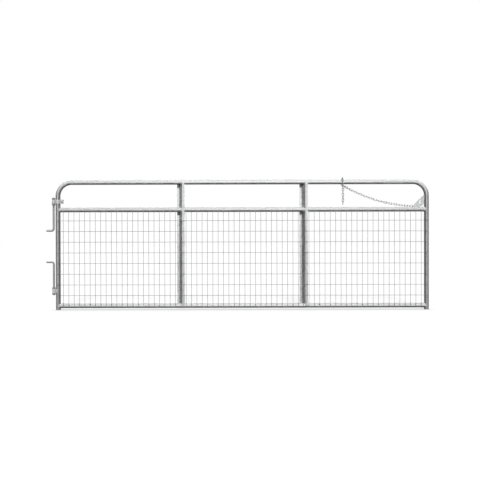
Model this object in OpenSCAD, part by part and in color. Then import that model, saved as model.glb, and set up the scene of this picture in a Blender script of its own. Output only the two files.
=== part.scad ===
// Wire-filled tube field gate: a bent tube hoop with two cross rails, two Z-braces, welded mesh,
// J-bolt hinges and a latch chain. Millimetres, +Z up, X along the gate, +Y towards its back.
// The origin is the middle of the hinge stile's foot.

/* [Frame] */
// Length over both stiles
gate_length = 3562; // [2700:10:4800]
// Height from the floor to the top of the top rail
gate_height = 1238; // [1210:2:1400]
// Outside diameter of the frame tube
tube_od = 44.45; // [38:0.05:51]
// Wall of the frame tube
tube_wall = 1.65; // [1.2:0.05:3]
// Centreline radius of the two top corners
corner_bend_r = 130; // [80:1:140]
// Height of the middle rail's centreline
middle_rail_z = 954; // [900:1:960]
// Height of the bottom rail's centreline
bottom_rail_z = 39; // [30:1:100]

/* [Braces] */
// Sheet thickness of a brace
brace_sheet = 2; // [1.2:0.1:2.6]
// Width of the flange in front of the rails
brace_front_flange = 23; // [18:1:32]
// Width of the flange behind the rails
brace_back_flange = 21; // [16:1:32]
// Distance along the gate that the sloping web covers
brace_web_run = 31; // [20:1:40]

/* [Mesh] */
// Wire diameter
wire_d = 3.4; // [3:0.1:4]
// Distance between the vertical stay wires
stay_pitch = 50.8; // [45:0.1:80]
// Least distance between a stile and the nearest stay wire's axis
stay_clear = 20; // [5:1:25]
// Distance between the horizontal line wires
line_pitch = 101.6; // [80:0.1:130]
// Height of the first line wire above the bottom rail's centreline
first_line_up = 99; // [60:1:110]
// Diameter of the tack weld under a line wire
tack_d = 6; // [4:0.5:8]

/* [Hinges] */
// Height of both hinge straps
strap_h = 38; // [30:1:44]
// Thickness of the strap steel
strap_t = 4.8; // [4:0.1:6]
// Height of the upper eye's middle
upper_eye_z = 1033; // [1020:1:1040]
// Height of the lower eye's middle
lower_eye_z = 180; // [160:1:190]
// Gap between the two ears of the clamp
ear_gap = 8; // [6:0.5:10]
// Reach of the ears from the stile's centreline
ear_reach = 50; // [48:1:56]
// Distance of the clamp bolt from the stile's centreline
clamp_bolt_x = 39; // [38:0.5:40]
// Diameter of the clamp bolt
clamp_bolt_d = 9.5; // [8:0.5:10]
// Width across the flats of the clamp nut
clamp_nut_af = 14.3; // [13:0.1:16]
// Height of the clamp nut
clamp_nut_h = 8.2; // [6:0.1:10]
// Diameter of the clamp bolt's round head
clamp_head_d = 20; // [17:0.5:22]
// Height of the clamp bolt's round head
clamp_head_h = 5; // [4:0.5:6]
// Length of thread that shows past a nut
thread_over = 4; // [2:0.5:8]

/* [J-bolts] */
// Diameter of the rod
rod_d = 19.05; // [16:0.05:20]
// Length of the shank from the leg's centreline to the thread's end
shank_len = 316; // [280:1:330]
// Length of the leg from the shank's axis to its end
leg_len = 69; // [60:1:90]
// Centreline radius of the rod's bend
rod_bend_r = 20; // [16:1:24]
// Width across the flats of a nut
nut_af = 28.6; // [27:0.1:32]
// Height of a nut
nut_h = 16; // [12:0.5:18]

/* [Chain] */
// Diameter of the link wire
chain_wire = 5.5; // [5:0.1:6]
// Width inside a link
chain_inside_w = 10; // [9.5:0.1:11]
// Length that each link adds to the chain
chain_pitch = 25; // [24:0.1:26]
// Slack between two linked wires
chain_play = 0.8; // [0.7:0.05:1]
// Distance from the latch stile's centreline to where the chain goes over the top rail
chain_reach = 802; // [795:1:810]
// Most length of chain between the top rail and the gusset
strand_len = 776; // [770:1:790]
// Height between the last link on the rail and the top of the strand's curve
hang_drop = 18.5; // [12:0.5:18.5]
// Height of the anchored end above the top of the middle rail
anchor_up = 9; // [8:0.5:20]

/* [Gusset] */
// Length of the gusset along the middle rail
gusset_l = 112; // [100:1:130]
// Length of the gusset up the latch stile
gusset_h = 112; // [100:1:130]
// Thickness of the gusset plate
gusset_t = 5; // [4:0.5:6]
// Length of the blunt ends at the two acute corners
gusset_nose = 8; // [3:0.5:9]
// Length of the open inner corner along the middle rail
clip_l = 44; // [30:1:46]
// Length of the open inner corner up the latch stile
clip_h = 26; // [16:1:28]
// Width of the hooked chain slot
slot_w = 8.5; // [7:0.1:9]

/* [Clearances] */
// Gap that the weld fills between two welded pieces
weld_gap = 0.1; // [0.05:0.05:0.2]
// Gap between a piece and one that it slides or turns on
run_gap = 0.3; // [0.3:0.05:0.5]
// Gap between the rod and its eye
eye_gap = 0.5; // [0.4:0.1:0.8]
// Gap between a bolt and its hole or nut
bolt_gap = 0.2; // [0.1:0.05:0.4]

/* [Hidden] */
$fn = 48;
overrun = 1;
edge_break = 1.5;
bay_count = 3;
standing_links = 3;

tube_r = tube_od / 2;
stile_gap = gate_length - tube_od;
top_rail_z = gate_height - tube_r;
corner_z = top_rail_z - corner_bend_r;

// Mesh planes: the stays lie on the rails, the lines lie on the stays
stay_y = -(tube_r + weld_gap + wire_d / 2);
line_y = stay_y - weld_gap - wire_d;
stay_count = floor((stile_gap - tube_od - 2 * stay_clear) / stay_pitch) + 1;
stay_x0 = (stile_gap - (stay_count - 1) * stay_pitch) / 2;
line_z0 = bottom_rail_z + first_line_up;
line_count = floor((middle_rail_z - tube_r - line_z0) / line_pitch) + 1;

// Braces: section with a sloping web between two flanges that hug the rails
brace_in = tube_r + weld_gap;
brace_out = brace_in + brace_sheet;
web_half = brace_web_run / 2;
web_slope = web_half / brace_in;
web_thick_x = brace_sheet * sqrt(1 + web_slope * web_slope);
brace_xs = [for (i = [1 : bay_count - 1]) i * stile_gap / bay_count];

// Hinge: the eye's ring touches the ring round the stile
eye_in = rod_d / 2 + eye_gap;
eye_out = eye_in + strap_t;
collar_out = tube_r + run_gap + strap_t;
eye_x = -(collar_out + eye_out);
ear_out = ear_gap / 2 + strap_t;
thread_end = strap_h / 2 + run_gap + nut_h + thread_over;

// Chain link: half circles of radius link_r, joined by straight sides of half length link_half
link_r = (chain_inside_w + chain_wire) / 2;
link_end = (chain_pitch + chain_wire + chain_play) / 2;
link_half = link_end - link_r;
link_w = chain_inside_w + 2 * chain_wire;

// Chain over the rail: standing links rest on the tube, flat links bridge between them
wrap_x = stile_gap - chain_reach;
stand_r = tube_r + run_gap + link_w / 2;
pivot_r = sqrt(stand_r * stand_r + link_half * link_half);
flat_half = chain_pitch - link_half;
flat_r = sqrt(pivot_r * pivot_r - flat_half * flat_half);
wrap_step = 2 * atan(link_half / stand_r) + 2 * asin(flat_half / pivot_r);
front_angle = 180;
back_angle = front_angle - (standing_links - 1) * wrap_step;

// Strand from the back of the rail to the gusset: one steep link, then a catenary that is level
// at the gusset. The point where two links pull lies link_slack from the axis of each wire and
// link_slip from the centre of a link's round end.
strand_links = 2 * floor((strand_len / chain_pitch - 1) / 2) + 1;
curve_l = (strand_links - 1) * chain_pitch;
link_slack = (chain_wire + chain_play) / 2;
link_slip = link_r - link_slack;
anchor_y = gusset_t / 2 + weld_gap + link_w / 2;
last_wire = on_rail(stand_r, back_angle) - link_end * round_rail(back_angle);
curve_drop = last_wire.z - hang_drop - (middle_rail_z + tube_r + anchor_up);
catenary_a = (curve_l * curve_l - curve_drop * curve_drop) / (2 * curve_drop);
curve_run = catenary_a * asinh_of(curve_l / catenary_a);
curve_dir = [catenary_a, 0, -curve_l] / norm([catenary_a, curve_l]);
hang_dip = asin((hang_drop + link_slip * curve_dir.z) / (chain_pitch - link_slip - link_slack));
hang_dir = [cos(hang_dip), 0, -sin(hang_dip)];
strand_top = last_wire - link_slack * hang_dir;
curve_top = strand_top + (chain_pitch - link_slip) * hang_dir + link_slip * curve_dir;

// Gusset slot: mouth, elbow and end, as shares of the gusset's two legs from its corner
slot_shares = [[-0.32, 0.82], [-0.37, 0.37], [-0.22, 0.22]];
slot_run_share = 0.94;

function asinh_of(v) = ln(v + sqrt(v * v + 1));

// A point at radius r and angle a round the top rail, from the back upwards
function on_rail(r, a) = [wrap_x, r * cos(a), top_rail_z + r * sin(a)];

// Direction round the top rail at angle a, and direction away from it
function round_rail(a) = [0, -sin(a), cos(a)];
function off_rail(a) = [0, cos(a), sin(a)];

// A point of the strand's curve at arc length s below its top
function curve_point(s) =
    let (
        up = curve_l - s,
        x = curve_run - catenary_a * asinh_of(up / catenary_a),
        z = norm([catenary_a, up]) - norm([catenary_a, curve_l]),
        y = (anchor_y - curve_top.y) * s / curve_l
    )
    curve_top + [x, y, z];

function unit(v) = v / norm(v);

// The part of direction v that is square to the unit direction u
function square_to(v, u) = unit(v - (v * u) * u);

// True where a stay wire at x would land on the front flange of a brace
function on_brace(x) =
    let (spare = web_thick_x + wire_d, flange_xs = [for (b = brace_xs) x - b - web_half])
    max([for (f = flange_xs) f > -spare && f < brace_front_flange + spare ? 1 : 0]) > 0;

module ring() {
    difference() {
        circle(d = tube_od);
        circle(d = tube_od - 2 * tube_wall);
    }
}

module tube_along_x(length) {
    rotate([0, 90, 0]) linear_extrude(length) ring();
}

module tube_bend() {
    rotate([90, 0, 0]) rotate_extrude(angle = 90) translate([corner_bend_r, 0]) ring();
}

module frame_hoop() {
    color("gainsboro") {
        linear_extrude(corner_z) ring();
        translate([stile_gap, 0, 0]) linear_extrude(corner_z) ring();
        translate([stile_gap - corner_bend_r, 0, corner_z]) tube_bend();
        translate([corner_bend_r, 0, corner_z]) mirror([1, 0, 0]) tube_bend();
        translate([corner_bend_r, 0, top_rail_z]) tube_along_x(stile_gap - 2 * corner_bend_r);
    }
}

// A cross rail, its ends coped round the two stiles
module cross_rail(z) {
    difference() {
        translate([0, 0, z]) tube_along_x(stile_gap);
        for (x = [0, stile_gap])
            translate([x, 0, z - tube_od]) cylinder(r = tube_r + weld_gap, h = 2 * tube_od);
    }
}

module middle_rail() {
    color("gainsboro") cross_rail(middle_rail_z);
}

module bottom_rail() {
    color("gainsboro") cross_rail(bottom_rail_z);
}

module brace_section() {
    web_out = web_half * brace_out / brace_in;
    half_x = web_thick_x / 2;
    polygon([
        [-web_half - brace_back_flange, brace_out],
        [-web_half - brace_back_flange, brace_in],
        [-web_half - half_x, brace_in],
        [web_out - half_x, -brace_out],
        [web_half + brace_front_flange, -brace_out],
        [web_half + brace_front_flange, -brace_in],
        [web_half + half_x, -brace_in],
        [-web_out + half_x, brace_out]
    ]);
}

// A Z-brace from the bottom rail to the top rail, with the rails through its web
module brace(x) {
    half_l = web_half + brace_back_flange + brace_front_flange;
    difference() {
        translate([x, 0, bottom_rail_z]) linear_extrude(top_rail_z - bottom_rail_z) brace_section();
        for (z = [bottom_rail_z, middle_rail_z, top_rail_z])
            translate([x - half_l, 0, z]) rotate([0, 90, 0]) cylinder(r = brace_in, h = 2 * half_l);
    }
}

module left_brace() {
    color("silver") brace(brace_xs[0]);
}

module right_brace() {
    color("silver") brace(brace_xs[1]);
}

module mesh_stay_wires() {
    color("lightgray")
        for (i = [0 : stay_count - 1])
            let (x = stay_x0 + i * stay_pitch)
                if (!on_brace(x))
                    translate([x, stay_y, bottom_rail_z - wire_d])
                        cylinder(d = wire_d, h = middle_rail_z - bottom_rail_z + 2 * wire_d);
}

module mesh_line_wires() {
    color("lightgray")
        for (i = [0 : line_count - 1])
            translate([-tack_d / 2, line_y, line_z0 + i * line_pitch])
                rotate([0, 90, 0]) cylinder(d = wire_d, h = stile_gap + tack_d);
}

// A tack weld from a seat at depth y to the back of a line wire
module tack_weld(x, y, z) {
    length = y - line_y - wire_d / 2 - 2 * weld_gap;
    translate([x, y - weld_gap, z]) rotate([90, 0, 0]) cylinder(d = tack_d, h = length);
}

module mesh_tack_welds() {
    flange_mid = web_half + brace_front_flange / 2;
    color("darkgray")
        for (i = [0 : line_count - 1]) {
            z = line_z0 + i * line_pitch;
            for (x = [0, stile_gap]) tack_weld(x, -tube_r, z);
            for (x = brace_xs) tack_weld(x + flange_mid, -brace_out, z);
        }
}

// A straight run of the slot from point a to point b, a little narrower than its round ends
module slot_run(a, b) {
    run_w = slot_w * slot_run_share;
    translate(a) rotate(atan2(b.y - a.y, b.x - a.x))
        translate([0, -run_w / 2]) square([norm(b - a), run_w]);
}

module latch_gusset() {
    places = [for (s = slot_shares) [s.x * gusset_l, s.y * gusset_h]];
    color("lightgray")
        translate([stile_gap - tube_r - weld_gap, gusset_t / 2, middle_rail_z + tube_r + weld_gap])
            rotate([90, 0, 0]) linear_extrude(gusset_t)
                difference() {
                    polygon([
                        [-clip_l, 0], [-gusset_l, 0], [-gusset_l, gusset_nose],
                        [-gusset_nose, gusset_h], [0, gusset_h], [0, clip_h]
                    ]);
                    for (p = places) translate(p) circle(d = slot_w);
                    slot_run(places[0], places[1]);
                    slot_run(places[1], places[2]);
                }
}

// The eye, the neck and a ring of the given bore round the stile
module strap_section(bore_r) {
    difference() {
        union() {
            translate([eye_x, 0]) circle(r = eye_out);
            circle(r = collar_out);
            translate([eye_x, -strap_t]) square([-eye_x, 2 * strap_t]);
            children();
        }
        translate([eye_x, 0]) circle(r = eye_in);
        circle(r = bore_r);
    }
}

module lower_hinge_strap() {
    color("silver")
        translate([0, 0, lower_eye_z - strap_h / 2]) linear_extrude(strap_h)
            difference() {
                strap_section(tube_r + weld_gap);
                translate([0, -tube_od]) square(2 * tube_od);
            }
}

module upper_hinge_strap() {
    color("silver")
        difference() {
            translate([0, 0, upper_eye_z - strap_h / 2]) linear_extrude(strap_h)
                difference() {
                    strap_section(tube_r + run_gap)
                        translate([0, -ear_out]) square([ear_reach, 2 * ear_out]);
                    translate([0, -ear_gap / 2]) square([ear_reach + overrun, ear_gap]);
                }
            translate([clamp_bolt_x, ear_out + overrun, upper_eye_z])
                rotate([90, 0, 0]) cylinder(d = clamp_bolt_d + 2 * bolt_gap, h = 2 * (ear_out + overrun));
        }
}

// A hexagon nut on the Z axis, with its corners turned off at both ends
module hex_nut(across_flats, bore, height) {
    corner_r = across_flats / 2 / cos(30);
    difference() {
        intersection() {
            cylinder(r = corner_r, h = height, $fn = 6);
            rotate_extrude() polygon([
                [0, 0], [across_flats / 2, 0], [corner_r, edge_break],
                [corner_r, height - edge_break], [across_flats / 2, height], [0, height]
            ]);
        }
        translate([0, 0, -overrun]) cylinder(d = bore, h = height + 2 * overrun);
    }
}

// The clamp bolt's head is behind the stile and its nut is in front
module clamp_bolt() {
    grip = 2 * ear_out + clamp_nut_h + thread_over;
    color("silver")
        translate([clamp_bolt_x, ear_out, upper_eye_z]) rotate([90, 0, 0]) {
            cylinder(d = clamp_bolt_d, h = grip);
            translate([0, 0, -clamp_head_h + edge_break])
                cylinder(d = clamp_head_d, h = clamp_head_h - edge_break);
            translate([0, 0, -clamp_head_h])
                cylinder(d1 = clamp_head_d - 2 * edge_break, d2 = clamp_head_d, h = edge_break);
        }
}

module clamp_nut() {
    color("darkgray")
        translate([clamp_bolt_x, -ear_out, upper_eye_z]) rotate([90, 0, 0])
            hex_nut(clamp_nut_af, clamp_bolt_d + 2 * bolt_gap, clamp_nut_h);
}

// A rod along +Z with its far edge broken
module rod(length) {
    cylinder(d = rod_d, h = length - edge_break);
    translate([0, 0, length - edge_break]) cylinder(d1 = rod_d, d2 = rod_d - 2 * edge_break, h = edge_break);
}

// A J-bolt with its shank up from the origin and its leg towards -X
module j_bolt() {
    translate([0, 0, rod_bend_r]) rod(shank_len - rod_bend_r);
    translate([-rod_bend_r, 0, 0]) rotate([0, -90, 0]) rod(leg_len - rod_bend_r);
    translate([-rod_bend_r, 0, rod_bend_r]) rotate([90, 0, 0]) rotate([0, 0, -90])
        rotate_extrude(angle = 90) translate([rod_bend_r, 0]) circle(d = rod_d);
}

// The two nuts above and below an eye
module eye_nuts(z) {
    for (side = [0, 1])
        translate([eye_x, 0, z]) mirror([0, 0, side]) translate([0, 0, strap_h / 2 + run_gap])
            hex_nut(nut_af, rod_d + 2 * bolt_gap, nut_h);
}

module upper_j_bolt() {
    color("silver") translate([eye_x, 0, upper_eye_z + thread_end - shank_len]) j_bolt();
}

module upper_j_bolt_nuts() {
    color("darkgray") eye_nuts(upper_eye_z);
}

module lower_j_bolt() {
    color("silver")
        translate([eye_x, 0, lower_eye_z - thread_end + shank_len]) mirror([0, 0, 1]) j_bolt();
}

module lower_j_bolt_nuts() {
    color("darkgray") eye_nuts(lower_eye_z);
}

// A chain link along X, its width along Y
module chain_link() {
    for (turn = [0, 180])
        rotate([0, 0, turn]) {
            translate([link_half, 0, 0]) rotate([0, 0, -90])
                rotate_extrude(angle = 180) translate([link_r, 0]) circle(d = chain_wire);
            translate([-link_half, link_r, 0]) rotate([0, 90, 0]) cylinder(d = chain_wire, h = 2 * link_half);
        }
}

// A chain link at a centre, along the direction u, with its width along w
module link_at(centre, u, w) {
    n = cross(u, w);
    multmatrix([
        [u.x, w.x, n.x, centre.x],
        [u.y, w.y, n.y, centre.y],
        [u.z, w.z, n.z, centre.z],
        [0, 0, 0, 1]
    ])
        chain_link();
}

// The last link is welded to the back of the gusset
module chain_anchor_link() {
    color("silver")
        link_at(curve_point(curve_l) + [chain_pitch / 2, 0, 0], [1, 0, 0], [0, 1, 0]);
}

module chain_strand() {
    color("silver")
        for (i = [0 : strand_links - 1]) {
            a = i == 0 ? strand_top : curve_point((i - 1) * chain_pitch);
            b = i == 0 ? a + chain_pitch * hang_dir : curve_point(i * chain_pitch);
            u = unit(b - a);
            across = square_to([0, 1, 0], u);
            link_at((a + b) / 2, u, i % 2 == 0 ? cross(u, across) : across);
        }
}

module chain_rail_links() {
    color("silver")
        for (i = [0 : 2 * standing_links - 2]) {
            angle = front_angle - i * wrap_step / 2;
            standing = i % 2 == 0;
            link_at(
                on_rail(standing ? stand_r : flat_r, angle),
                round_rail(angle),
                standing ? off_rail(angle) : [1, 0, 0]
            );
        }
}

// Link number i of the tail that hangs in front of the top rail
module tail_link(i) {
    color("silver")
        link_at(
            on_rail(stand_r, front_angle) - [0, 0, i * chain_pitch],
            [0, 0, -1],
            i % 2 == 0 ? [0, 1, 0] : [1, 0, 0]
        );
}

frame_hoop();
middle_rail();
bottom_rail();
left_brace();
right_brace();
mesh_stay_wires();
mesh_line_wires();
mesh_tack_welds();
latch_gusset();
lower_hinge_strap();
upper_hinge_strap();
clamp_bolt();
clamp_nut();
upper_j_bolt();
upper_j_bolt_nuts();
lower_j_bolt();
lower_j_bolt_nuts();
chain_anchor_link();
chain_strand();
chain_rail_links();
tail_link(1);  // chain_tail_link_1
tail_link(2);  // chain_tail_link_2
tail_link(3);  // chain_tail_link_3
tail_link(4);  // chain_tail_link_4
tail_link(5);  // chain_tail_link_5
tail_link(6);  // chain_tail_link_6
tail_link(7);  // chain_tail_link_7
tail_link(8);  // chain_tail_link_8
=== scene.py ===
import math

import bpy
import numpy as np
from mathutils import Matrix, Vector


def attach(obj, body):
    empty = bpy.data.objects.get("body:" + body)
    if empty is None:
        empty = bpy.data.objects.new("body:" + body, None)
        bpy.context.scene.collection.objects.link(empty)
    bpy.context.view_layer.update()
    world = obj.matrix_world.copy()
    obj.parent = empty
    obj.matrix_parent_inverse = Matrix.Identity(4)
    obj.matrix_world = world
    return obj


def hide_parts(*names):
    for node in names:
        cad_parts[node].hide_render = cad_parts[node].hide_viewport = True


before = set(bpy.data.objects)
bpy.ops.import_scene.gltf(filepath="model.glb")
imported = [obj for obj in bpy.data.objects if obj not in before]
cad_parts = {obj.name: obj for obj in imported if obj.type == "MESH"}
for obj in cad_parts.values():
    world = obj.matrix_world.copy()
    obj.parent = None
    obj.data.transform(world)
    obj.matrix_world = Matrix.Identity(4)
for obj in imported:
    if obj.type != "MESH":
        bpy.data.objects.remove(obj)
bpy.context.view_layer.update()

IMAGE_PIXELS = 480
UP = np.array([0.0, 0.0, 1.0])
BACK = np.array([0.0, 1.0, 0.0])
ALONG = np.array([1.0, 0.0, 0.0])

# Lengths in metres, the same as in the part's source
STILE_GAP = 3.51755
TUBE_R = 0.022225
TUBE_WALL = 0.00165
BEND_R = 0.130
TOP_Z = 1.215775
MIDDLE_Z = 0.954
BOTTOM_Z = 0.039
WELD_GAP = 0.0001
RUN_GAP = 0.0003

WIRE_D = 0.0034
STAY_Y = -(TUBE_R + WELD_GAP + WIRE_D / 2)
LINE_Y = STAY_Y - WELD_GAP - WIRE_D
STAYS, FIRST_STAY, STAY_STEP = 68, 0.056975, 0.0508
LINES, FIRST_LINE, LINE_STEP = 8, 0.138, 0.1016
STAY_X = FIRST_STAY + STAY_STEP * np.arange(STAYS)
LINE_Z = FIRST_LINE + LINE_STEP * np.arange(LINES)

BRACE_X = STILE_GAP * np.array([1, 2]) / 3
BRACE_SHEET = 0.002
BRACE_IN = TUBE_R + WELD_GAP
BRACE_OUT = BRACE_IN + BRACE_SHEET
WEB_HALF = 0.0155
FRONT_FLANGE = 0.023
BACK_FLANGE = 0.021

EYE_X = -0.04215
UPPER_EYE_Z = 1.033
LOWER_EYE_Z = 0.180
STRAP_H = 0.038
EAR_OUT = 0.0088
CLAMP_X = 0.039
CLAMP_R = 0.00475
CLAMP_HEAD_R = 0.010
CLAMP_HEAD_H = 0.005
CLAMP_NUT_H = 0.0082
ROD_NUT_H = 0.016
PAST_NUT = 0.004
CLAMP_END = EAR_OUT + CLAMP_NUT_H + PAST_NUT

ROD_R = 0.009525
ROD_BEND_R = 0.020
SHANK = 0.316
LEG = 0.069
THREAD_END = STRAP_H / 2 + RUN_GAP + ROD_NUT_H + PAST_NUT

CHAIN_WIRE = 0.0055
CHAIN_PITCH = 0.025
CHAIN_PLAY = 0.0008
LINK_R = 0.00775
LINK_END = (CHAIN_PITCH + CHAIN_WIRE + CHAIN_PLAY) / 2
LINK_HALF = LINK_END - LINK_R
LINK_W = 0.021
CHAIN_REACH = 0.802
HANG_DROP = 0.0185
ANCHOR_UP = 0.009
RAIL_LINKS = 5
STRAND_LINKS = 31
TAIL_LINKS = 8

GUSSET_L = 0.112
GUSSET_H = 0.112
GUSSET_T = 0.005
CLIP_L = 0.044
CLIP_H = 0.026


# Camera

def place_camera():
    """A camera in front of the gate's middle at the photograph's height, turned and tipped by parts
    of a degree. The lens is the focal length in pixels over the picture's pixels, times the
    sensor's width."""
    focal_pixels = 575.80
    tip, roll, pan = -0.263, 0.127, 0.120
    lens = bpy.data.cameras.new("camera")
    lens.sensor_width = 36.0
    lens.lens = focal_pixels / IMAGE_PIXELS * lens.sensor_width
    lens.clip_end = 200.0
    camera = bpy.data.objects.new("camera", lens)
    camera.location = (1.7497, -5.5, 0.6892)
    camera.rotation_euler = [math.radians(turn) for turn in (90 + tip, roll, pan)]
    bpy.context.scene.collection.objects.link(camera)
    bpy.context.scene.camera = camera


# Materials

class Wire:
    """An output socket in a node tree. Sums, differences, products and abs of it add Math nodes."""

    def __init__(self, tree, socket=None):
        self.tree = tree
        self.socket = socket

    def node(self, kind, settings=(), inputs=(), out=0):
        """A node of any type: its settings first, then the values or links of its sockets."""
        made = self.tree.nodes.new("ShaderNode" + kind)
        for key, value in dict(settings).items():
            if key != "stops":
                setattr(made, key, value)
                continue
            stops = made.color_ramp.elements
            while len(stops) < len(value):
                stops.new(0.5)
            for stop, (position, colour) in zip(stops, value):
                stop.position = position
                stop.color = colour
        for key, value in dict(inputs).items():
            if isinstance(value, Wire):
                self.tree.links.new(value.socket, made.inputs[key])
            else:
                made.inputs[key].default_value = value
        return Wire(self.tree, made.outputs[out] if made.outputs else None)

    def math(self, operation, a, b):
        return self.node("Math", {"operation": operation}, {0: a, 1: b})

    def __add__(self, other):
        return self.math("ADD", self, other)

    def __sub__(self, other):
        return self.math("SUBTRACT", self, other)

    def __rsub__(self, other):
        return self.math("SUBTRACT", other, self)

    def __mul__(self, other):
        return self.math("MULTIPLY", self, other)

    def __abs__(self):
        return self.node("Math", {"operation": "ABSOLUTE"}, {0: self})

    __radd__ = __add__
    __rmul__ = __mul__

    def along(self, axis):
        """A vector's part along the axis X, Y or Z."""
        return self.node("SeparateXYZ", (), {0: self}, out=axis)

    def noise(self, place, scale, detail):
        return self.node("TexNoise", (), {"Vector": place, "Scale": scale, "Detail": detail})

    def ramp(self, stops, level):
        return self.node("ValToRGB", {"stops": stops}, {0: level})

    def fade(self, value, start, end):
        """0 up to start, 1 from end on, and a straight line between them."""
        return self.node("MapRange", (), {"Value": value, "From Min": start, "From Max": end})

    def blend(self, factor, a, b):
        """The colour a where the factor is 0 and b where it is 1."""
        return self.node("Mix", {"data_type": "RGBA"}, {0: factor, 6: a, 7: b}, out=2)


BROWNISH = (1.05, 1.0, 0.94)
# The tint of darkened plate, where marks and painted shade lie.
MARK_AND_SHADE_TINT = (1.04, 1.0, 0.95)


def grey(level, tint=None):
    """A grey of that level. Bright zinc is a little cool, and dull zinc a little warm."""
    tint = tint or (0.985, 1.0, 0.965 + 0.05 * level)
    return tuple(level * t for t in tint) + (1.0,)


def empty_tree(owner):
    """The node tree of a material or world, cleared, as a wire to build on."""
    owner.use_nodes = True
    owner.node_tree.nodes.clear()
    return Wire(owner.node_tree)


def finish(name, gloss, recipe):
    """A Principled material. The recipe gives what changes over the surface, and gloss is the
    shader's specular level."""
    material = bpy.data.materials.new(name)
    wire = empty_tree(material)
    shader = wire.node("BsdfPrincipled", (), {"Specular IOR Level": gloss, **recipe(wire)})
    wire.node("OutputMaterial", (), {"Surface": shader})
    return material


def zinc(crystal, greys, rough, streak=(1.0, 1.0, 1.0), other=None, where=None):
    """Galvanised steel: crystals of the given size, each with its own grey and gloss, their edges
    blurred by noise, over broad clouds that streak stretches along an axis. The colour runs between
    two greys, and where gives the share of another pair of greys from the place. Where a piece has
    the attribute 'soil', that share of about a third of the brightness is lost, as painted
    shade on the tubes' undersides."""
    shade_loss = 0.36

    def recipe(wire):
        place = wire.node("TexCoord", out="Object")
        blur = {"Vector": place, "Scale": 1.4 / crystal, "Detail": 2.0}
        frost = wire.node("TexNoise", (), blur, out="Color")
        shift = wire.node("VectorMath", {"operation": "SCALE"}, {0: frost, "Scale": 0.9 * crystal})
        bent = wire.node("VectorMath", {"operation": "ADD"}, {0: place, 1: shift})
        cells = wire.node("TexVoronoi", (), {"Vector": bent, "Scale": 1.0 / crystal}, out="Color")
        crystals = wire.node("SeparateColor", (), {0: cells})
        long_way = wire.node("VectorMath", {"operation": "MULTIPLY"}, {0: place, 1: streak})
        clouds = wire.noise(long_way, scale=9.0, detail=5.0)
        grain = wire.noise(place, scale=700.0, detail=2.0)
        level = 0.55 * crystals + 0.35 * clouds + 0.1 * grain

        def between(pair):
            return wire.ramp([(0.25, grey(pair[0])), (0.75, grey(pair[1]))], level)

        colour = between(greys)
        if where:
            colour = wire.blend(where(wire, place), colour, between(other))
        soil = wire.node("Attribute", {"attribute_name": "soil"}, out="Fac")
        unmarked = 1.0 - shade_loss * soil
        height = grain + 0.5 * crystals
        return {
            "Base Color": wire.node("VectorMath", {"operation": "SCALE"}, {0: colour, "Scale": unmarked}),
            "Roughness": rough + 0.06 * (crystals - 0.5) + 0.04 * (clouds - 0.5),
            "Normal": wire.node("Bump", (), {"Strength": 0.15, "Distance": 0.0003, "Height": height}),
        }
    return recipe


def down_the_stiles(wire, place):
    """0 on the top rail, 1 from the bends' feet down. The darker stiles stand in for the dark
    surroundings that they mirror in the photograph."""
    below_the_rail = 0.02
    return wire.fade(place.along("Z"), TOP_Z - below_the_rail, TOP_Z - BEND_R)


def shade_on_a_brace(wire, place):
    """The share of painted shade on a brace: 1 on its sloping web. On its flanges 0 from the top rail to
    a little above the middle rail, and from there more towards the foot. Where both hold, it is one
    less the product of what each leaves."""
    shade_at_the_foot = 0.6
    start = MIDDLE_Z + 0.1
    web = wire.fade(abs(place.along("Y")), BRACE_IN, BRACE_IN - BRACE_SHEET)
    low = shade_at_the_foot * wire.fade(place.along("Z"), start, BOTTOM_Z)
    return web + low - web * low


def on_the_middle_rail(wire, place):
    """0 on the mesh below the middle rail, 1 where the stays lie on the rail, where they are lighter."""
    rim = MIDDLE_Z - TUBE_R
    return wire.fade(place.along("Z"), rim - 0.002, rim + 0.004)


def plated(dark, light, rough):
    """Zinc plate on forged or rolled steel: fine pits over soft clouds. It is darker and rougher
    where the piece's own attribute 'soil' says so: in a thread's root, at a link's weld,
    and as painted shade on the rods' shanks and legs and on the chain's tips and tail."""
    def recipe(wire):
        place = wire.node("TexCoord", out="Object")
        clouds = wire.noise(place, scale=38.0, detail=4.0)
        pits = wire.noise(place, scale=420.0, detail=3.0)
        soil = wire.node("Attribute", {"attribute_name": "soil"}, out="Fac")
        unmarked = wire.ramp([(0.3, grey(dark)), (0.7, grey(light))], 0.65 * clouds + 0.35 * pits)
        return {
            "Base Color": wire.blend(soil, unmarked, grey(0.3 * dark, MARK_AND_SHADE_TINT)),
            "Roughness": rough + 0.2 * (pits - 0.5) + 0.25 * soil,
            "Normal": wire.node("Bump", (), {"Strength": 0.3, "Distance": 0.0004, "Height": pits}),
        }
    return recipe


def weld(dark, light):
    """Weld metal under zinc spray: mottled grey, and browner where it is dark."""
    def recipe(wire):
        place = wire.node("TexCoord", out="Object")
        spots = wire.noise(place, scale=160.0, detail=4.0)
        fine = wire.noise(place, scale=800.0, detail=2.0)
        colours = [(0.3, grey(dark, BROWNISH)), (0.6, grey(light))]
        height = spots + fine
        return {
            "Base Color": wire.ramp(colours, 0.7 * spots + 0.3 * fine),
            "Roughness": 0.45 + 0.3 * (spots - 0.5),
            "Normal": wire.node("Bump", (), {"Strength": 0.4, "Distance": 0.0004, "Height": height}),
        }
    return recipe


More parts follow.
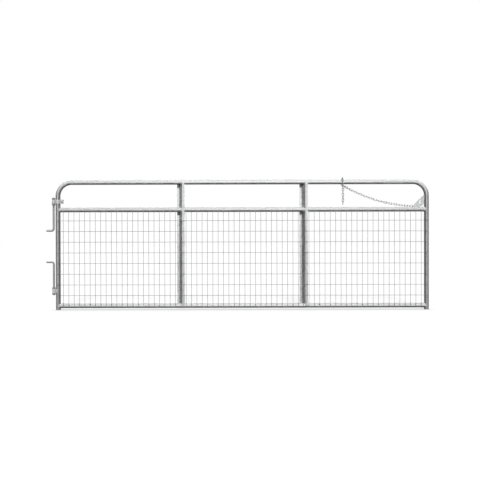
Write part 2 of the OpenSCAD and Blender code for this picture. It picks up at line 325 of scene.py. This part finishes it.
def vinyl(wire):
    """A blank pale sticker: off-white film, a little clouded and scuffed."""
    place = wire.node("TexCoord", out="Object")
    clouds = wire.noise(place, scale=24.0, detail=4.0)
    scuffs = wire.noise(place, scale=260.0, detail=5.0)
    colours = [(0.3, (0.66, 0.67, 0.67, 1.0)), (0.65, (0.78, 0.79, 0.79, 1.0))]
    return {
        "Base Color": wire.ramp(colours, 0.5 * clouds + 0.5 * scuffs),
        "Roughness": 0.42 + 0.2 * (scuffs - 0.5),
    }


LENGTHWAYS = (0.25, 1.0, 0.25)
TUBE_GLOSS, SHEET_GLOSS, WIRE_GLOSS, SOFT_GLOSS = 0.35, 0.06, 0.1, 0.12

hoop_zinc = finish("hoop_zinc", TUBE_GLOSS, zinc(
    crystal=0.007, greys=(0.62, 0.72), rough=0.40, streak=LENGTHWAYS,
    other=(0.18, 0.28), where=down_the_stiles))
rail_zinc = finish("rail_zinc", TUBE_GLOSS, zinc(
    crystal=0.007, greys=(0.52, 0.63), rough=0.40, streak=LENGTHWAYS))
# The braces' webs and lower flanges take darker greys as painted shade.
brace_zinc = finish("brace_zinc", SHEET_GLOSS, zinc(
    crystal=0.018, greys=(0.76, 0.86), rough=0.45, other=(0.29, 0.45), where=shade_on_a_brace))
plate_zinc = finish("plate_zinc", SHEET_GLOSS, zinc(crystal=0.014, greys=(0.66, 0.73), rough=0.45))
wire_zinc = finish("wire_zinc", WIRE_GLOSS, zinc(
    crystal=0.009, greys=(0.16, 0.25), rough=0.45, other=(0.44, 0.56), where=on_the_middle_rail))
weld_grey = finish("weld_grey", SOFT_GLOSS, weld(dark=0.26, light=0.52))
hinge_zinc = finish("hinge_zinc", SOFT_GLOSS, plated(dark=0.52, light=0.74, rough=0.42))
nut_zinc = finish("nut_zinc", SOFT_GLOSS, plated(dark=0.36, light=0.56, rough=0.40))
rod_nut_zinc = finish("rod_nut_zinc", SOFT_GLOSS, plated(dark=0.20, light=0.34, rough=0.40))
rod_zinc = finish("rod_zinc", SOFT_GLOSS, plated(dark=0.46, light=0.70, rough=0.42))
chain_zinc = finish("chain_zinc", SOFT_GLOSS, plated(dark=0.62, light=0.90, rough=0.40))
label_vinyl = finish("label_vinyl", SOFT_GLOSS, vinyl)


# Surfaces

ALL_SMOOTH = 180.0


def surface(name, points, material, body, stands_for=(), ring=False, soil=None, crease=40.0):
    """Puts grids of points, shaped (copies, rows, columns, 3), into one mesh that rides on a body.
    Columns always close on themselves. Rows close too for a ring, and otherwise end in flat caps.
    Each copy's faces are turned so that the first copy's volume about its own middle is positive.
    Edges sharper than the crease, in degrees, are left hard."""
    points = np.asarray(points, float)
    points = points[None] if points.ndim == 3 else points
    copies, rows, columns = points.shape[:3]
    row = np.arange(rows if ring else rows - 1)[:, None]
    column = np.arange(columns)[None, :]
    ahead, beside = (row + 1) % rows, (column + 1) % columns
    quads = np.stack([
        row * columns + column, row * columns + beside,
        ahead * columns + beside, ahead * columns + column,
    ], -1).reshape(-1, 4)
    centred = points[0].reshape(-1, 3) - points[0].reshape(-1, 3).mean(0)
    a, b, c, d = (centred[quads[:, k]] for k in range(4))
    volume = np.einsum("ij,ij", a, np.cross(b, c)) + np.einsum("ij,ij", a, np.cross(c, d))
    ends = np.stack([np.arange(columns)[::-1], (rows - 1) * columns + np.arange(columns)])
    turn = 1 if volume > 0 else -1
    start = (np.arange(copies) * rows * columns)[:, None, None]
    faces = (quads[:, ::turn][None] + start).reshape(-1, 4).tolist()
    if not ring:
        faces += (ends[:, ::turn][None] + start).reshape(-1, columns).tolist()
    mesh = bpy.data.meshes.new(name)
    mesh.from_pydata(points.reshape(-1, 3).tolist(), [], faces)
    mesh.shade_smooth()
    mesh.set_sharp_from_angle(angle=math.radians(crease))
    if soil is not None:
        values = np.broadcast_to(soil, points.shape[:3]).astype(np.float32).ravel()
        mesh.attributes.new("soil", "FLOAT", "POINT").data.foreach_set("value", values)
    mesh.materials.append(material)
    piece = bpy.data.objects.new(name, mesh)
    bpy.context.scene.collection.objects.link(piece)
    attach(piece, body)
    if stands_for:
        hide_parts(*stands_for)


def round_angles(columns):
    """Even angles once round, one for each column."""
    return 2 * np.pi * np.arange(columns) / columns


def carried(path, across, up, radius, columns):
    """A round profile carried along a path: each point is the path's point plus the radius times
    cos(angle) across and sin(angle) up. The radius may change with the row and the column."""
    angle = round_angles(columns)
    radius = np.broadcast_to(np.asarray(radius, float), (len(path), columns))
    round_way = np.cos(angle)[:, None] * across[:, None] + np.sin(angle)[:, None] * up[:, None]
    return path[:, None] + radius[..., None] * round_way


def unit(vector):
    return vector / np.linalg.norm(vector, axis=-1, keepdims=True)


def run_along(path):
    """The length of the path from its start to each of its points."""
    return np.concatenate([[0.0], np.cumsum(np.linalg.norm(np.diff(path, axis=0), axis=1))])


def level_frame(path, side):
    """For a path in a plane square to side: the direction across it in that plane, and side."""
    forward = unit(np.gradient(path, axis=0))
    side = np.broadcast_to(side, path.shape)
    return unit(np.cross(forward, side)), side


# Frame tubes

TUBE_COLUMNS = 56
# The bottom rail's underside takes more painted shade than the other tubes.
BOTTOM_RAIL_SHADE = 1.8


def underside_shade():
    """For each column of a tube's section 0 on its upper or outer half and 1 on its lower or inner
    half, with a short smooth step between: the share of painted shade that darkens the tubes there."""
    start, width = 0.2, 0.3
    down = -np.cos(round_angles(TUBE_COLUMNS))
    share = np.clip((down - start) / width, 0.0, 1.0)
    return share * share * (3 - 2 * share)


def make_hoop():
    """A tube along the hoop's centreline: up a stile, a quarter circle, the top rail, a quarter circle
    and down. Its outer wall runs one way and its inner wall back, so the grid closes over the ends.
    The underside's painted shade is whole on the top rail and falls to half of that round the bends."""
    stile_rows, bend_rows, rail_rows = 24, 24, 48
    shade_on_stiles = 0.5
    corner_z = TOP_Z - BEND_R
    rise = np.linspace(0.0, corner_z, stile_rows, endpoint=False)
    bend = np.linspace(0.0, np.pi / 2, bend_rows)
    left = np.stack([0 * rise, 0 * rise, rise], 1)
    turn = np.stack([BEND_R - BEND_R * np.cos(bend), 0 * bend, corner_z + BEND_R * np.sin(bend)], 1)
    half = np.concatenate([left, turn])
    run = np.linspace(BEND_R, STILE_GAP - BEND_R, rail_rows)[1:-1]
    top = np.stack([run, 0 * run, np.full_like(run, TOP_Z)], 1)
    other = half[::-1] * [-1, 1, 1] + [STILE_GAP, 0, 0]
    path = np.concatenate([half, top, other])
    across, side = level_frame(path, BACK)
    outer = carried(path, across, side, TUBE_R, TUBE_COLUMNS)
    inner = carried(path, across, side, TUBE_R - TUBE_WALL, TUBE_COLUMNS)[::-1]
    round_bend = np.clip((path[:, 2] - corner_z) / BEND_R, 0.0, 1.0)
    soil = (shade_on_stiles + (1 - shade_on_stiles) * round_bend)[:, None] * underside_shade()
    surface("hoop_tube", np.concatenate([outer, inner]), hoop_zinc, "gate",
            ["frame_hoop"], ring=True, soil=np.concatenate([soil, soil[::-1]]))


def make_rail(name, node, z, shade_scale=1.0):
    """A tube between the stiles. At the angle a round the rail its end stands off the stile's axis by
    the root of the stile's radius squared less the depth squared, which is the saddle cut of the
    cope. The shade scale says how much darker its underside is, as painted shade."""
    angle = round_angles(TUBE_COLUMNS)
    share = np.linspace(0.0, 1.0, 60)[:, None]
    walls = []
    for radius in (TUBE_R, TUBE_R - TUBE_WALL):
        depth = radius * np.sin(angle)
        stand_off = np.sqrt((TUBE_R + WELD_GAP) ** 2 - depth ** 2)
        x = stand_off + share * (STILE_GAP - 2 * stand_off)
        walls.append(np.stack([x, depth + 0 * x, z + radius * np.cos(angle) + 0 * x], -1))
    surface(name, np.concatenate([walls[0], walls[1][::-1]]), rail_zinc, "gate",
            [node], ring=True, soil=shade_scale * underside_shade())


# Welds

BEAD_COLUMNS = 10
RIPPLE = 0.0024
RIPPLE_SWELL = 0.12
SADDLE_BEAD_R = 0.0026
SEAM_BEAD_R = 0.0024
NOTCH_BEAD_R = 0.0022
CROSSING_NUGGET = (0.0021, 0.0012, 0.0021)
RAIL_NUGGET = (0.0045, 0.0014, 0.0050)


def bead(path, across, up, radius):
    """A weld bead: a round profile along the path whose radius swells with each ripple, wanders
    slowly, and closes down over its first and last two millimetres or so."""
    wander, wander_length = 0.08, 0.0071
    closing, thinnest = 0.8, 0.02
    run = run_along(path)
    ends = np.minimum(run, run[-1] - run)
    ripples = RIPPLE_SWELL * np.abs(np.sin(np.pi * run / RIPPLE))
    swell = 1 + ripples + wander * np.sin(run / wander_length)
    close = np.sqrt(np.clip(ends / (closing * radius), thinnest, 1.0))
    return carried(path, across, up, (radius * swell * close)[:, None], BEAD_COLUMNS)


def straight_bead(start, end, up, radius, rows=96):
    """A bead on the straight line from start to end."""
    start, end = np.asarray(start, float), np.asarray(end, float)
    share = np.linspace(0.0, 1.0, rows)[:, None]
    path = start + share * (end - start)
    up = np.broadcast_to(up, path.shape)
    return bead(path, np.cross(unit(end - start), up), up, radius)


def make_saddle_welds():
    """Beads round the rails' ends, on the curve where a rail meets a stile: at the angle a the rail's
    skin is at depth R sin(a) and stands off the stile's axis by R cos(a), with the two tips rounded.
    A whole number of ripples goes round."""
    angle = round_angles(320)
    tip = 0.0025
    off = np.sqrt((TUBE_R * np.cos(angle)) ** 2 + tip ** 2)
    beads = []
    for z in (MIDDLE_Z, BOTTOM_Z):
        for x, way in ((0.0, 1.0), (STILE_GAP, -1.0)):
            depth, height = TUBE_R * np.sin(angle), z + TUBE_R * np.cos(angle)
            path = np.stack([x + way * off, depth, height], 1)
            forward = unit(np.roll(path, -1, 0) - np.roll(path, 1, 0))
            out = np.stack([0 * angle, np.sin(angle), np.cos(angle)], 1)
            across = unit(np.cross(forward, out))
            up = np.cross(across, forward)
            run = run_along(path)
            ripples = round(run[-1] / RIPPLE)
            wave = np.abs(np.sin(np.pi * ripples * run / (run[-1] + run[1])))
            radius = SADDLE_BEAD_R * (1 + RIPPLE_SWELL * wave)
            beads.append(carried(path, across, up, radius[:, None], BEAD_COLUMNS))
    surface("saddle_welds", beads, weld_grey, "gate", ring=True, crease=ALL_SMOOTH)


def make_plate_welds():
    """Straight beads: along both faces of the gusset, beside the lower strap, and in the notches
    above and below each rail where a brace's flanges touch it."""
    beads = []
    proud = 0.0008
    corner_x, corner_z = STILE_GAP - TUBE_R, MIDDLE_Z + TUBE_R
    low, high = LOWER_EYE_Z - STRAP_H / 2, LOWER_EYE_Z + STRAP_H / 2
    for side in (-1, 1):
        y = side * (GUSSET_T / 2 + proud)
        on_rail = (corner_x - GUSSET_L, y, corner_z), (corner_x - CLIP_L, y, corner_z)
        on_stile = (corner_x, y, corner_z + CLIP_H), (corner_x, y, corner_z + GUSSET_H)
        y = side * (TUBE_R + 2 * proud)
        by_strap = (proud, y, low), (proud, y, high)
        for line, up in ((on_rail, UP), (on_stile, -ALONG), (by_strap, side * BACK)):
            beads.append(straight_bead(*line, up, SEAM_BEAD_R))
    notch_z = 0.0082
    notch_y = BRACE_IN - 0.0013
    short_by = 0.003
    for x in BRACE_X:
        front, back = x + WEB_HALF + BRACE_SHEET, x - WEB_HALF - BRACE_SHEET
        front_end, back_end = front + FRONT_FLANGE - short_by, back - BACK_FLANGE + short_by
        for z, ways in ((TOP_Z, (-1,)), (MIDDLE_Z, (1, -1)), (BOTTOM_Z, (1,))):
            for way in ways:
                high = z + way * notch_z
                on_front = (front, -notch_y, high), (front_end, -notch_y, high)
                on_back = (back_end, notch_y, high), (back, notch_y, high)
                beads.append(straight_bead(*on_front, UP, NOTCH_BEAD_R))
                beads.append(straight_bead(*on_back, UP, NOTCH_BEAD_R))
    surface("plate_welds", beads, weld_grey, "gate", crease=ALL_SMOOTH)


def blobs(centres, half_sizes, columns=8, rings=5, wobble=0.1):
    """Low round mounds: at the polar angle p and the angle a a point is the centre plus the half sizes
    times (sin p cos a, sin p sin a, cos p). The wobble makes each mound a little lopsided, in
    another way than the one before it."""
    pole_gap, turn_a_mound = 0.12, 2.4
    polar = np.linspace(pole_gap, np.pi - pole_gap, rings)[:, None]
    angle = round_angles(columns)[None, :]
    ball = np.stack([
        np.sin(polar) * np.cos(angle), np.sin(polar) * np.sin(angle), np.cos(polar) + 0 * angle,
    ], -1)
    phase = np.arange(len(centres))[:, None, None] * turn_a_mound
    lumpy = 1 + wobble * np.sin(2 * angle[None] + phase) * np.sin(polar)[None]
    return centres[:, None, None] + np.asarray(half_sizes) * ball[None] * lumpy[..., None]


def grid_at(x, y, z):
    """Every place with one of the x and one of the z, all at the depth y."""
    x, z = (g.ravel() for g in np.meshgrid(x, z))
    return np.stack([x, np.full_like(x, y), z], 1)


def make_mesh_welds():
    """Spot welds: a nugget where each line wire crosses a stay and where each stay lies on a rail, and
    a tack where each line wire ends on a stile or passes over a brace's front flange."""
    rail_heights = [MIDDLE_Z - 0.005, BOTTOM_Z + 0.007]
    crossings = grid_at(STAY_X, (STAY_Y + LINE_Y) / 2, LINE_Z)
    on_rails = grid_at(STAY_X, -TUBE_R - WELD_GAP, rail_heights)
    nuggets = np.concatenate([blobs(crossings, CROSSING_NUGGET), blobs(on_rails, RAIL_NUGGET)])
    surface("mesh_spot_welds", nuggets, wire_zinc, "gate", crease=ALL_SMOOTH)
    tack_x, tack_z, over_wire = 0.0036, 0.0032, 0.0006
    flange_x = BRACE_X + WEB_HALF + FRONT_FLANGE / 2
    tacks = []
    for seats, seat_y in (((0.0, STILE_GAP), -TUBE_R), (flange_x, -BRACE_OUT)):
        centres = grid_at(seats, (seat_y + LINE_Y) / 2, LINE_Z)
        half_sizes = (tack_x, (seat_y - LINE_Y) / 2 + over_wire, tack_z)
        tacks.append(blobs(centres, half_sizes, columns=14, rings=9, wobble=0.12))
    surface("mesh_tack_mounds", np.concatenate(tacks), weld_grey, "gate",
            ["mesh_tack_welds"], crease=ALL_SMOOTH)


# Hinges

# How much darker a thread's roots are.
ROOT_DARKNESS = 0.75


def thread(run, angle, pitch, depth, start, end):
    """How far a thread is cut below the rod's skin: a triangle wave that climbs by one pitch a turn,
    its crests and roots a little flattened, faded in over one pitch where the thread starts."""
    phase = (run / pitch + angle / (2 * np.pi)) % 1.0
    ridge = np.abs(2 * phase - 1)
    fade = np.clip((run - start) / pitch, 0.0, 1.0) * (run <= end)
    return depth * np.clip(1.15 * ridge - 0.08, 0.0, 1.0) * fade


def make_j_bolt(name, node, body, leg_z, up):
    """A rod from the end of its leg, round a quarter circle and along its shank, its thread cut into
    the shank's last stretch and both ends bevelled. Its painted shade is even on the shank, lies on
    the underside of the leg and changes over the bend from one to the other, and its darkening is
    deepest in the thread's roots."""
    bevel, pitch, depth, threaded = 0.0015, 0.00254, 0.0013, 0.105
    leg_shade, shank_shade = 0.55, 0.45
    turn = np.linspace(0.0, np.pi / 2, 18)
    leg = np.linspace(-LEG, -ROD_BEND_R, 12, endpoint=False)
    plain = np.linspace(ROD_BEND_R, SHANK - threaded, 20)[1:-1]
    cut = np.linspace(SHANK - threaded, SHANK, 336)
    x = np.concatenate([leg, -ROD_BEND_R + ROD_BEND_R * np.sin(turn), 0 * plain, 0 * cut])
    z = np.concatenate([0 * leg, ROD_BEND_R - ROD_BEND_R * np.cos(turn), plain, cut])
    path = np.stack([EYE_X + x, 0 * x, leg_z + up * z], 1)
    run = run_along(path)
    columns = 40
    angle = round_angles(columns)
    cut_depth = thread(run[:, None], angle[None], pitch, depth, run[-1] - threaded, run[-1])
    ends = np.minimum(run, run[-1] - run)
    radius = ROD_R - cut_depth - np.clip(bevel - ends, 0.0, bevel)[:, None]
    across, side = level_frame(path, BACK)
    on_leg = np.clip((-ROD_BEND_R / 2 - x) / ROD_BEND_R + 0.5, 0.0, 1.0)[:, None]
    under_leg = np.clip(0.6 - 1.6 * np.cos(angle), 0.0, 1.0)[None]
    painted_shade = on_leg * leg_shade * under_leg + (1 - on_leg) * shank_shade
    surface(name, carried(path, across, side, radius, columns), rod_zinc, body, [node],
            soil=np.maximum(painted_shade, ROOT_DARKNESS * cut_depth / depth))


def make_clamp_bolt():
    """A round-headed bolt turned about its own axis: a domed head whose radius follows a quarter
    ellipse, then a plain shank, then a thread with a bevelled end."""
    bevel, pitch, depth = 0.0012, 0.0016, 0.0008
    rise = np.linspace(0.1, np.pi / 2, 14)
    dome_y = EAR_OUT + CLAMP_HEAD_H * np.cos(rise)
    dome_r = CLAMP_HEAD_R * np.sin(rise)
    neck_y = np.array([EAR_OUT + 1e-5, 0.0, -EAR_OUT])
    cut_y = np.linspace(-EAR_OUT - 1e-4, -CLAMP_END, 72)
    y = np.concatenate([dome_y, neck_y, cut_y])
    plain_r = np.concatenate([dome_r, np.full(len(neck_y) + len(cut_y), CLAMP_R)])
    path = np.stack([np.full_like(y, CLAMP_X), y, np.full_like(y, UPPER_EYE_Z)], 1)
    columns = 32
    cut_depth = thread(-y[:, None], round_angles(columns)[None], pitch, depth, EAR_OUT, CLAMP_END)
    end_cut = np.clip(bevel - (y + CLAMP_END), 0.0, bevel)
    across, up = (np.broadcast_to(v, path.shape) for v in (ALONG, UP))
    points = carried(path, across, up, plain_r[:, None] - cut_depth - end_cut[:, None], columns)
    surface("clamp_carriage_bolt", points, nut_zinc, "upper_hinge", ["clamp_bolt"],
            soil=ROOT_DARKNESS * cut_depth / depth)


# Chain

def link_form(rows=44, columns=12):
    """A link about its own middle, long along the first axis and wide along the second: a round wire
    along two half circles joined by straight sides, thicker where its weld is. The rows' closeness
    to the weld and to the link's two tips comes with it."""
    weld_half, weld_swell = 0.0022, 0.1
    straight = 2 * LINK_HALF
    arc = np.pi * LINK_R
    run = 2 * (straight + arc) * (np.arange(rows) + 0.5) / rows
    s = run[:, None]
    on_side = [s < straight, s < straight + arc, s < 2 * straight + arc]
    first = (s - straight) / LINK_R
    second = (s - 2 * straight - arc) / LINK_R
    x = np.select(
        on_side,
        [s - LINK_HALF, LINK_HALF + LINK_R * np.sin(first), LINK_HALF - (s - straight - arc)],
        -LINK_HALF - LINK_R * np.sin(second))
    y = np.select(
        on_side,
        [0 * s - LINK_R, -LINK_R * np.cos(first), 0 * s + LINK_R],
        LINK_R * np.cos(second))
    path = np.concatenate([x, y, 0 * x], 1)
    forward = unit(np.roll(path, -1, 0) - np.roll(path, 1, 0))
    side = np.broadcast_to(UP, path.shape)
    near_weld = np.exp(-((run - straight / 2) / weld_half) ** 2)
    radius = CHAIN_WIRE / 2 * (1 + weld_swell * near_weld)[:, None]
    near_tip = np.clip((np.abs(path[:, 0]) - LINK_HALF) / LINK_R, 0.0, 1.0)
    return carried(path, np.cross(forward, side), side, radius, columns), near_weld, near_tip


LINK, LINK_WELD, LINK_TIP = link_form()
# Welds are darker; the tips and the free tail take painted shade.
WELD_DARKNESS, TIP_SHADE, TAIL_SHADE = 0.55, 0.9, 0.5


def links_at(centres, forward, wide):
    """Copies of the link, each at a centre, long along forward and wide along wide."""
    centres, forward, wide = (np.asarray(v, float) for v in (centres, forward, wide))
    axes = np.stack([forward, wide, np.cross(forward, wide)], 1)
    return centres[:, None, None] + np.einsum("rcj,njk->nrck", LINK, axes)


def chain_route():
    """The chain's places, from the part's own construction: standing and flat links round the top rail,
    a steep link behind it, a catenary that is level at the gusset, and a plumb tail."""
    wrap_x = STILE_GAP - CHAIN_REACH
    stand_r = TUBE_R + RUN_GAP + LINK_W / 2
    pivot_r = math.hypot(stand_r, LINK_HALF)
    flat_half = CHAIN_PITCH - LINK_HALF
    flat_r = math.sqrt(pivot_r ** 2 - flat_half ** 2)
    step = 2 * math.atan(LINK_HALF / stand_r) + 2 * math.asin(flat_half / pivot_r)

    def on_rail(radius, a):
        return np.array([wrap_x, radius * math.cos(a), TOP_Z + radius * math.sin(a)])

    def round_rail(a):
        return np.array([0.0, -math.sin(a), math.cos(a)])

    wrap = []
    for i in range(RAIL_LINKS):
        a = math.pi - i * step / 2
        off = np.array([0.0, math.cos(a), math.sin(a)])
        radius, wide = (stand_r, off) if i % 2 == 0 else (flat_r, ALONG)
        wrap.append((on_rail(radius, a), round_rail(a), wide))
    back = math.pi - (RAIL_LINKS - 1) * step / 2
    last = on_rail(stand_r, back) - LINK_END * round_rail(back)
    slack = (CHAIN_WIRE + CHAIN_PLAY) / 2
    slip = LINK_R - slack
    length = (STRAND_LINKS - 1) * CHAIN_PITCH
    drop = last[2] - HANG_DROP - (MIDDLE_Z + TUBE_R + ANCHOR_UP)
    a = (length ** 2 - drop ** 2) / (2 * drop)
    run = a * math.asinh(length / a)
    curve_way = unit(np.array([a, 0.0, -length]))
    dip = math.asin((HANG_DROP + slip * curve_way[2]) / (CHAIN_PITCH - slip - slack))
    hang_way = np.array([math.cos(dip), 0.0, -math.sin(dip)])
    top = last - slack * hang_way
    curve_top = top + (CHAIN_PITCH - slip) * hang_way + slip * curve_way
    anchor_y = GUSSET_T / 2 + WELD_GAP + LINK_W / 2
    s = CHAIN_PITCH * np.arange(STRAND_LINKS)
    up = length - s
    curve = curve_top + np.stack([
        run - a * np.arcsinh(up / a),
        (anchor_y - curve_top[1]) * s / length,
        np.hypot(a, up) - math.hypot(a, length),
    ], 1)
    starts = np.concatenate([[top], curve[:-1]])
    ends = np.concatenate([[top + CHAIN_PITCH * hang_way], curve[1:]])
    forward = unit(ends - starts)
    across = unit(BACK - (forward @ BACK)[:, None] * forward)
    even = (np.arange(STRAND_LINKS) % 2 == 0)[:, None]
    strand = ((starts + ends) / 2, forward, np.where(even, np.cross(forward, across), across))
    anchor = curve[-1] + [CHAIN_PITCH / 2, 0.0, 0.0]
    hang = on_rail(stand_r, math.pi)
    return wrap, strand, anchor, hang


def make_chain():
    """Every link of the chain, grouped by the body that it rides on. The links are darker at their
    welds, and painted shade lies on their tips, where they hang in one another, and all over the
    free tail."""
    wrap, strand, anchor, hang = chain_route()
    tips_and_welds = np.maximum(WELD_DARKNESS * LINK_WELD, TIP_SHADE * LINK_TIP)

    def chain_piece(name, node, body, places, all_over_shade=0.0):
        soil = np.maximum(tips_and_welds, all_over_shade)[None, :, None]
        surface(name, links_at(*places), chain_zinc, body, [node], ring=True, soil=soil)

    chain_piece("chain_hanging_links", "chain_strand", "chain_strand", strand)
    chain_piece("chain_links_over_rail", "chain_rail_links", "gate", zip(*wrap))
    chain_piece("chain_end_link", "chain_anchor_link", "gate", ([anchor], [ALONG], [BACK]))
    for i in range(1, TAIL_LINKS + 1):
        name = f"chain_tail_link_{i}"
        centre = hang - [0.0, 0.0, i * CHAIN_PITCH]
        wide = BACK if i % 2 == 0 else ALONG
        chain_piece(f"chain_free_link_{i}", name, name, ([centre], [-UP], [wide]), TAIL_SHADE)


# Sticker

def make_sticker():
    """A thin film bent round the front of the top rail: a patch of a cylinder between two angles, its
    corners rounded by a quarter circle, with an outer and an inner skin that meet along its rim."""
    start, end, corner = 3.104, 3.314, 0.004
    half_angle = math.radians(58)
    film, off_the_tube = 0.0003, 0.00002
    share = 0.5 - 0.5 * np.cos(np.linspace(0.0, np.pi, 60))
    x = start + share * (end - start)
    inset = np.clip(corner - np.minimum(x - start, end - x), 0.0, corner)
    half = half_angle - (corner - np.sqrt(corner ** 2 - inset ** 2)) / TUBE_R
    angle = half[:, None] * np.linspace(-1.0, 1.0, 36)[None]

    def skin(radius):
        along = x[:, None] + 0 * angle
        return np.stack([along, -radius * np.cos(angle), TOP_Z + radius * np.sin(angle)], -1)

    outer, inner = skin(TUBE_R + film), skin(TUBE_R + off_the_tube)
    points = np.concatenate([outer, inner[:, ::-1]], 1)
    surface("blank_sticker", points, label_vinyl, "gate", crease=30.0)


# Solids that keep their own shape

def dress_solids():
    """Gives each solid that stays in view its finish."""
    finishes = {
        brace_zinc: ["left_brace", "right_brace"],
        plate_zinc: ["latch_gusset"],
        wire_zinc: ["mesh_stay_wires", "mesh_line_wires"],
        hinge_zinc: ["lower_hinge_strap", "upper_hinge_strap"],
        nut_zinc: ["clamp_nut"],
        rod_nut_zinc: ["upper_j_bolt_nuts", "lower_j_bolt_nuts"],
    }
    for material, nodes in finishes.items():
        for node in nodes:
            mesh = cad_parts[node].data
            mesh.materials.clear()
            mesh.materials.append(material)


# Stage

WHITE = (1.0, 1.0, 1.0, 1.0)


def seen(wire):
    """1 for rays from the camera, in gloss and through glass, 0 for the light that the stage sends on."""
    camera, gloss, glass = (
        wire.node("LightPath", out=ray)
        for ray in ("Is Camera Ray", "Is Glossy Ray", "Is Transmission Ray"))
    return camera + gloss + glass


def make_floor():
    """A level floor, white in the open. A fifth of its light is the lamps', which keeps the gate's cast
    shadow, and the rest is a glow with a painted contact shadow, which falls off close under the gate
    by the share of the surround that it hides."""
    half, below, contact_reach = 40.0, -0.0002, 0.12
    corners = [(x * half, y * half, below) for x, y in ((-1, -1), (1, -1), (1, 1), (-1, 1))]
    mesh = bpy.data.meshes.new("floor")
    mesh.from_pydata(corners, [], [(0, 1, 2, 3)])
    material = bpy.data.materials.new("floor_white")
    wire = empty_tree(material)
    dull = wire.node("BsdfDiffuse", (), {"Color": (0.05, 0.05, 0.05, 1.0)})
    lit = wire.node("BsdfDiffuse", (), {"Color": (0.2, 0.2, 0.2, 1.0)})
    open_share = wire.node("AmbientOcclusion", (), {"Distance": contact_reach}, out="AO")
    shadowed_glow = wire.node("Emission", (), {"Color": 0.3 + 0.51 * open_share, "Strength": 1.0})
    white = wire.node("AddShader", (), {0: lit, 1: shadowed_glow})
    shown = wire.node("MixShader", (), {0: seen(wire), 1: dull, 2: white})
    wire.node("OutputMaterial", (), {"Surface": shown})
    mesh.materials.append(material)
    floor = bpy.data.objects.new("floor", mesh)
    bpy.context.scene.collection.objects.link(floor)


def make_sky(fill):
    """A white surround, which lights the gate with the given fill."""
    world = bpy.data.worlds.new("surround")
    wire = empty_tree(world)
    dim = wire.node("Background", (), {"Color": WHITE, "Strength": fill})
    white = wire.node("Background", (), {"Color": WHITE, "Strength": 1.0})
    shown = wire.node("MixShader", (), {0: seen(wire), 1: dim, 2: white})
    wire.node("OutputWorld", (), {"Surface": shown})
    bpy.context.scene.world = world


def make_sun(name, level, azimuth, elevation, spread, gloss=True, light=True):
    """A soft far lamp, its angles in degrees. Azimuth 0 shines from the front and 90 from the latch
    end. A lamp may show in the gloss of a surface, light it, or both."""
    lamp = bpy.data.lights.new(name, "SUN")
    lamp.energy = math.pi * level
    lamp.angle = math.radians(spread)
    a, e = math.radians(azimuth), math.radians(elevation)
    towards = Vector((math.sin(a) * math.cos(e), -math.cos(a) * math.cos(e), math.sin(e)))
    sun = bpy.data.objects.new(name, lamp)
    sun.rotation_mode = "QUATERNION"
    sun.rotation_quaternion = towards.to_track_quat("Z", "Y")
    sun.visible_diffuse = light
    sun.visible_glossy = gloss
    bpy.context.scene.collection.objects.link(sun)


place_camera()
make_hoop()
make_rail("middle_rail_tube", "middle_rail", MIDDLE_Z)
make_rail("bottom_rail_tube", "bottom_rail", BOTTOM_Z, shade_scale=BOTTOM_RAIL_SHADE)
make_saddle_welds()
make_plate_welds()
make_mesh_welds()
make_j_bolt("upper_threaded_rod", "upper_j_bolt", "upper_j_bolt", UPPER_EYE_Z + THREAD_END - SHANK, 1.0)
make_j_bolt("lower_threaded_rod", "lower_j_bolt", "lower_j_bolt", LOWER_EYE_Z - THREAD_END + SHANK, -1.0)
make_clamp_bolt()
make_chain()
make_sticker()
dress_solids()
make_floor()
make_sky(fill=0.05)
make_sun("key", level=1.0, azimuth=2.0, elevation=43.0, spread=10.0)
make_sun("back", level=0.55, azimuth=180.0, elevation=35.0, spread=80.0, gloss=False)
make_sun("shine", level=2.0, azimuth=2.0, elevation=5.0, spread=12.0, light=False)
bpy.context.scene.view_settings.view_transform = "Standard"
